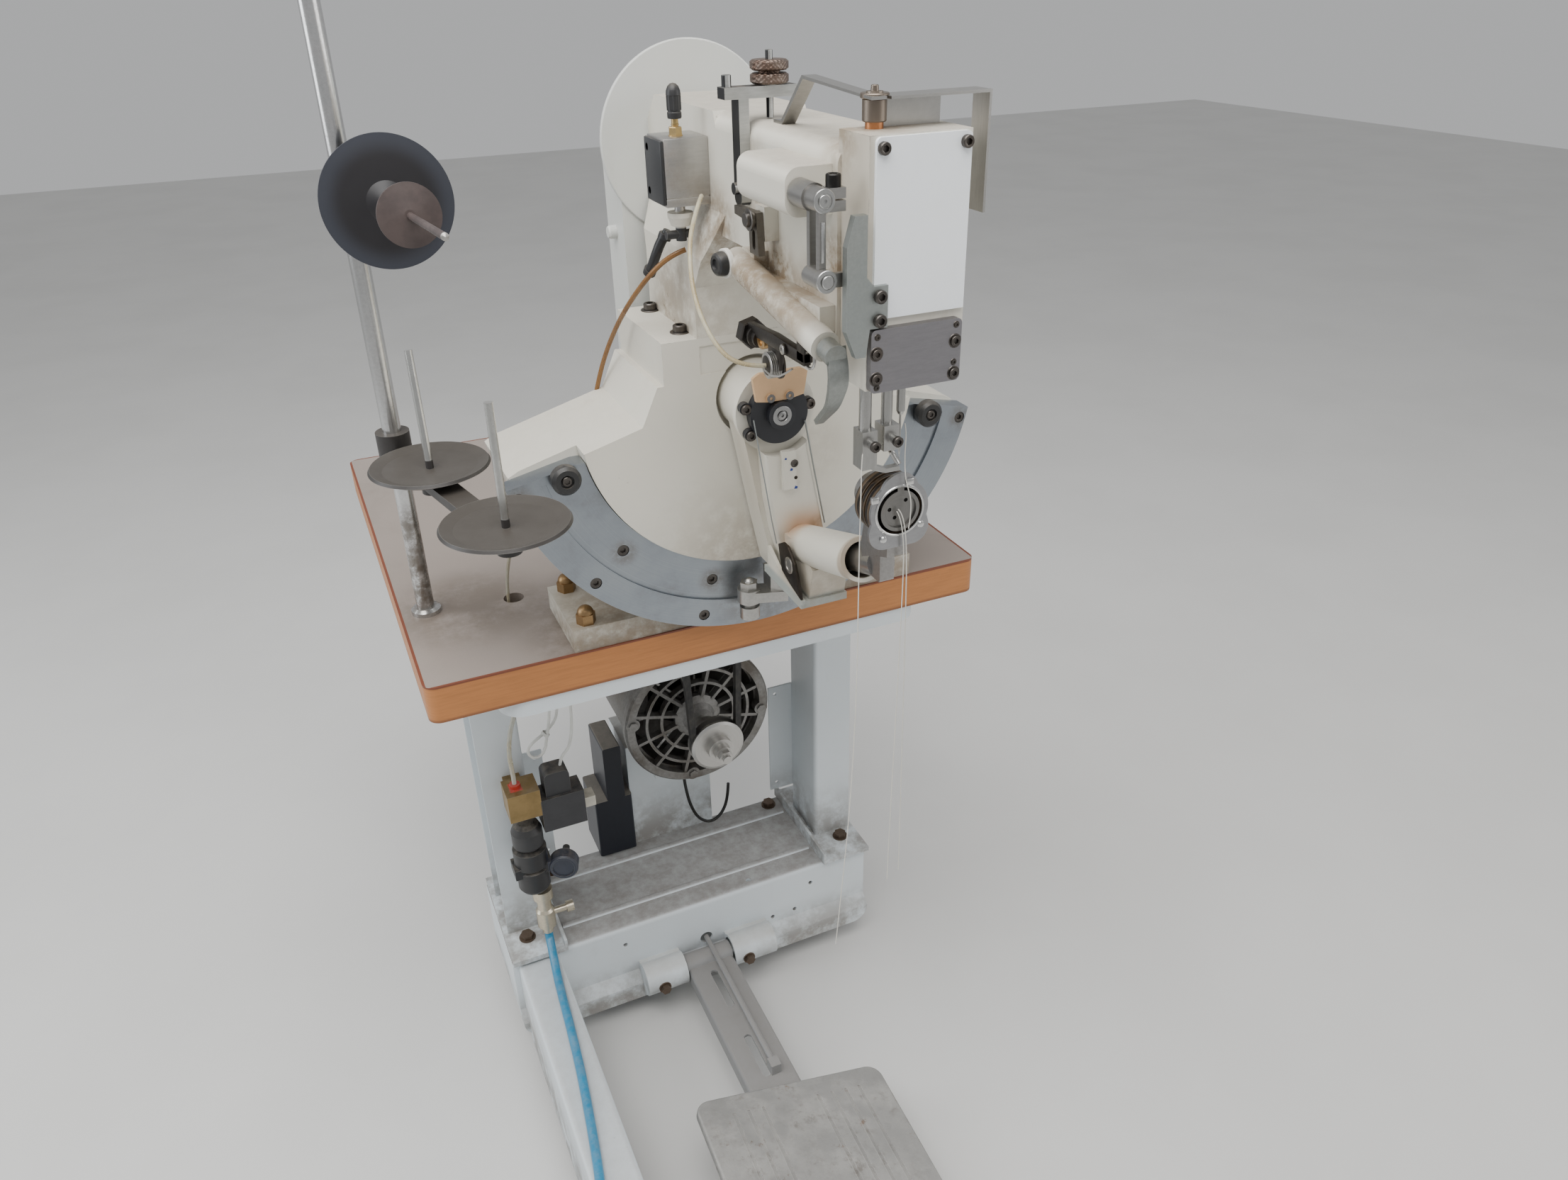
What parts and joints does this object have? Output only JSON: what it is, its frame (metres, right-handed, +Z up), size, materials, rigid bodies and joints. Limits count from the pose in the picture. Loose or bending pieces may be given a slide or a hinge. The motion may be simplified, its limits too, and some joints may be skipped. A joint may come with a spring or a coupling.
{
  "type": "sole stitching machine",
  "caption": "Sole stitching machine with a swinging horn arm and arc guide, on a laminate table with a white stand, belt motor, treadle and air service group.",
  "frame": {"origin": "on the floor, under the middle of the machine's bounding box without the air hose", "axes": "+X to the operator's right, +Y away from the operator, +Z up"},
  "size_m": [0.811, 1.1328, 1.42],
  "materials": {
    "laminate": "grey-beige laminate, slightly worn",
    "wood_edge": "orange-brown edging",
    "white_paint": "white enamel, scuffed",
    "beam_paint": "light enamel, dusty and worn on top",
    "cream_paint": "cream casting paint, oil stained",
    "black_paint": "black",
    "treadle_iron": "cast, paint worn",
    "motor_grey": "cast aluminium, oily",
    "steel": "machined steel",
    "guide_steel": "blue-grey machined steel",
    "bright": "bright turned steel",
    "black_steel": "blackened steel",
    "brass": "brass",
    "tan": "tan plate",
    "black_plastic": "black plastic",
    "rubber": "black rubber",
    "blue_hose": "blue translucent hose",
    "tube": "clear and pale tubes",
    "copper_tone": "browned knurled nuts"
  },
  "bodies": {
    "machine": {"table_board": "laminate", "table_edging": "wood_edge", "stand_frame": "white_paint", "base_beam": "beam_paint", "left_foot_rail": "white_paint", "stand_bolts": "black_steel", "levelling_feet": "rubber", "pedal_bracket": "white_paint", "motor_pedestal": "white_paint", "motor_body": "motor_grey", "motor_end_bell": "motor_grey", "drive_belt": "rubber", "belt_cover": "cream_paint", "control_box": "black_paint", "valve_block": "brass", "regulator_body": "black_plastic", "shutoff_valve": "bright", "air_hose": "blue_hose", "hose_coil": "blue_hose", "hose_coupling": "brass", "thread_rod": "bright", "spool_arm": "black_paint", "fan_body": "cream_paint", "arm_casting": "cream_paint", "arc_guide": "guide_steel", "machine_screws": "black_steel", "stop_knobs": "black_plastic", "cap_nuts": "brass", "face_plate": "cream_paint", "lower_plate": "steel", "cam_plate": "steel", "tension_bracket": "black_steel", "leaf_spring": "steel", "guard_strip": "steel", "cylinder_block": "steel", "tension_unit": "black_steel", "thin_tubes": "tube"},
    "pedal": {"pedal_arm": "beam_paint", "pedal_plate": "treadle_iron"},
    "motor_shaft": {"motor_pulley": "steel"},
    "main_shaft": {"top_pulley": "steel"},
    "swing_unit": {"swing_arm": "cream_paint", "hub_disc": "black_steel", "sector_plate": "tan", "arc_clamp": "steel", "horn": "bright", "hook_ring": "bright", "bobbin_case": "bright"},
    "hook": {"hook_drum": "black_steel"},
    "needle": {"needle_bar": "bright"},
    "presser": {"presser_bar": "bright"},
    "feed": {"feed_bar": "bright"},
    "lift_finger": {"lift_lever": "steel"},
    "rocker": {"rocker_lever": "steel"},
    "link": {"rocker_link": "steel"},
    "slot_lever": {"slotted_lever": "steel"},
    "thumb": {"thumb_nuts": "copper_tone"},
    "lift_rod": {"cylinder_rod": "bright"},
    "regulator_turn": {"regulator_knob": "black_plastic"},
    "reel": {"reel_disc": "black_plastic"}
  },
  "joints": [
    {"name": "pedal_tilt", "type": "hinge", "parent": "machine", "child": "pedal", "pos_m": [0.0005, 0.0064, 0.084], "axis": [1, 0, 0], "range_deg": [0, 6], "stiffness_Nm_per_rad": 40, "springref_deg": -34.38},
    {"name": "main_shaft_turn", "type": "hinge", "parent": "machine", "child": "main_shaft", "pos_m": [0.0375, 0.0174, 1.262], "axis": [0, -1, 0], "continuous": true},
    {"name": "motor_turn", "type": "hinge", "parent": "machine", "child": "motor_shaft", "pos_m": [0.0375, 0.0174, 0.473], "axis": [0, -1, 0], "continuous": true},
    {"name": "arm_swing", "type": "hinge", "parent": "machine", "child": "swing_unit", "pos_m": [0.0375, -0.1936, 1.033], "axis": [0, -1, 0], "range_deg": [-50, 50]},
    {"name": "hook_turn", "type": "hinge", "parent": "swing_unit", "child": "hook", "pos_m": [0.0375, -0.4466, 1.028], "axis": [0, -1, 0], "continuous": true},
    {"name": "needle_stroke", "type": "slide", "parent": "machine", "child": "needle", "axis": [0, 0, 1], "range_m": [0, 0.03]},
    {"name": "presser_lift", "type": "slide", "parent": "machine", "child": "presser", "axis": [0, 0, 1], "range_m": [0, 0.008], "stiffness_N_per_m": 300, "springref_m": -0.004},
    {"name": "feed_lift", "type": "slide", "parent": "machine", "child": "feed", "axis": [0, 0, 1], "range_m": [0, 0.008]},
    {"name": "lift_finger_turn", "type": "hinge", "parent": "machine", "child": "lift_finger", "pos_m": [-0.0245, -0.4516, 1.171], "axis": [0, 0.9862, 0.1653], "range_deg": [0, 25]},
    {"name": "rocker_turn", "type": "hinge", "parent": "machine", "child": "rocker", "pos_m": [-0.0345, -0.4596, 1.28], "axis": [0, -1, 0], "range_deg": [-4, 4]},
    {"name": "link_turn", "type": "hinge", "parent": "rocker", "child": "link", "pos_m": [-0.0355, -0.4656, 1.226], "axis": [0, -1, 0], "range_deg": [-4, 4]},
    {"name": "slot_lever_turn", "type": "hinge", "parent": "machine", "child": "slot_lever", "pos_m": [-0.0225, -0.3226, 1.242], "axis": [1, 0, 0], "range_deg": [-5, 3]},
    {"name": "thumb_turn", "type": "hinge", "parent": "machine", "child": "thumb", "pos_m": [0.0145, -0.2686, 1.345], "axis": [0, 0, 1], "range_deg": [-180, 180]},
    {"name": "lift_rod_stroke", "type": "slide", "parent": "machine", "child": "lift_rod", "axis": [0, 0, -1], "range_m": [0, 0.006], "stiffness_N_per_m": 400, "springref_m": -0.004},
    {"name": "regulator_knob_turn", "type": "hinge", "parent": "machine", "child": "regulator_turn", "pos_m": [-0.2325, 0.0384, 0.395], "axis": [0, 0, 1], "range_deg": [-135, 135]},
    {"name": "reel_turn", "type": "hinge", "parent": "machine", "child": "reel", "pos_m": [-0.2725, -0.0026, 1.227], "axis": [0, -0.9962, 0.0872], "continuous": true}
  ],
  "couplings": [
    {"joint": "motor_turn", "follows": "main_shaft_turn", "ratio": 1.9688},
    {"joint": "hook_turn", "follows": "main_shaft_turn", "ratio": 2},
    {"joint": "link_turn", "follows": "rocker_turn", "ratio": -1}
  ]
}
